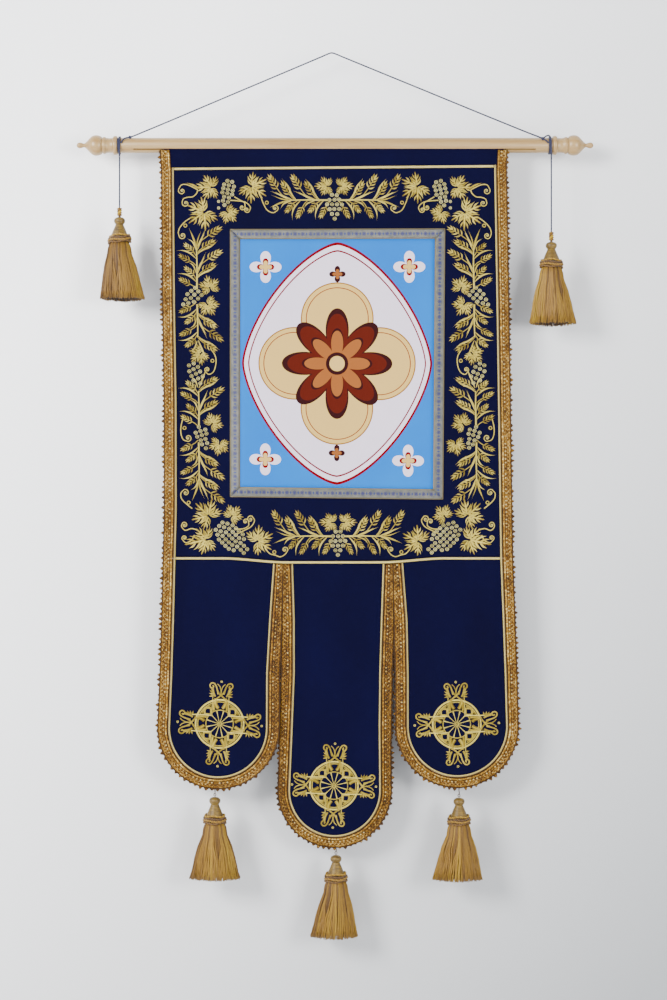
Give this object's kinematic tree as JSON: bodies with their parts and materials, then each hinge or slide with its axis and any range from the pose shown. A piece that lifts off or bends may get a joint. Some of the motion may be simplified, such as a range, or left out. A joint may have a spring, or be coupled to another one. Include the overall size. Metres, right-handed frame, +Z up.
{
  "type": "church banner on a rod",
  "caption": "Hanging velvet banner on a wooden rod, with a printed panel, gold edging, round lappets with embroidered crosses and tassels, hung by a cord.",
  "frame": {"origin": "top of the hanging cord, where it passes over its nail", "axes": "+Z up, +X to the right seen from the front, the front of the cloth faces -Y and the wall is at +Y"},
  "size_m": [0.8815, 0.0611, 1.5087],
  "materials": {
    "rod_wood": "pale turned hardwood, fine sanded, clear satin",
    "velvet": "dark navy velvet, short dense pile",
    "galloon": "woven metallic lace in old gold with pointed picots",
    "narrow_braid": "pale gold metallic braid",
    "printed_panel": "printed satin cloth with a fine weave",
    "woven_ribbon": "woven silver grey ribbon with small blue figures",
    "embroidery": "pale gold satin stitch",
    "blue_cord": "twisted dark blue cord",
    "tassel_yarn": "silky old gold yarn"
  },
  "bodies": {
    "root": {"braid_left": "narrow_braid", "braid_mid": "narrow_braid", "braid_right": "narrow_braid", "cord_drop_left": "blue_cord", "cord_drop_right": "blue_cord", "cord_knot_left": "tassel_yarn", "cord_knot_right": "tassel_yarn", "cord_wrap_left": "blue_cord", "cord_wrap_right": "blue_cord", "cross_left": "embroidery", "cross_mid": "embroidery", "cross_right": "embroidery", "field_cloth": "velvet", "finial_left": "rod_wood", "finial_right": "rod_wood", "galloon_left": "galloon", "galloon_mid": "galloon", "galloon_right": "galloon", "hanging_cord": "blue_cord", "icon_panel": "printed_panel", "icon_ribbon_bottom": "woven_ribbon", "icon_ribbon_left": "woven_ribbon", "icon_ribbon_right": "woven_ribbon", "icon_ribbon_top": "woven_ribbon", "lappet_left": "velvet", "lappet_mid": "velvet", "lappet_right": "velvet", "rod": "rod_wood", "seam_braid": "narrow_braid", "tassel_collar_cord_left": "tassel_yarn", "tassel_collar_cord_right": "tassel_yarn", "tassel_collar_lappet_left": "tassel_yarn", "tassel_collar_lappet_mid": "tassel_yarn", "tassel_collar_lappet_right": "tassel_yarn", "tassel_cord_left": "tassel_yarn", "tassel_cord_right": "tassel_yarn", "tassel_lappet_left": "tassel_yarn", "tassel_lappet_mid": "tassel_yarn", "tassel_lappet_right": "tassel_yarn", "top_braid": "narrow_braid"}
  },
  "joints": []
}
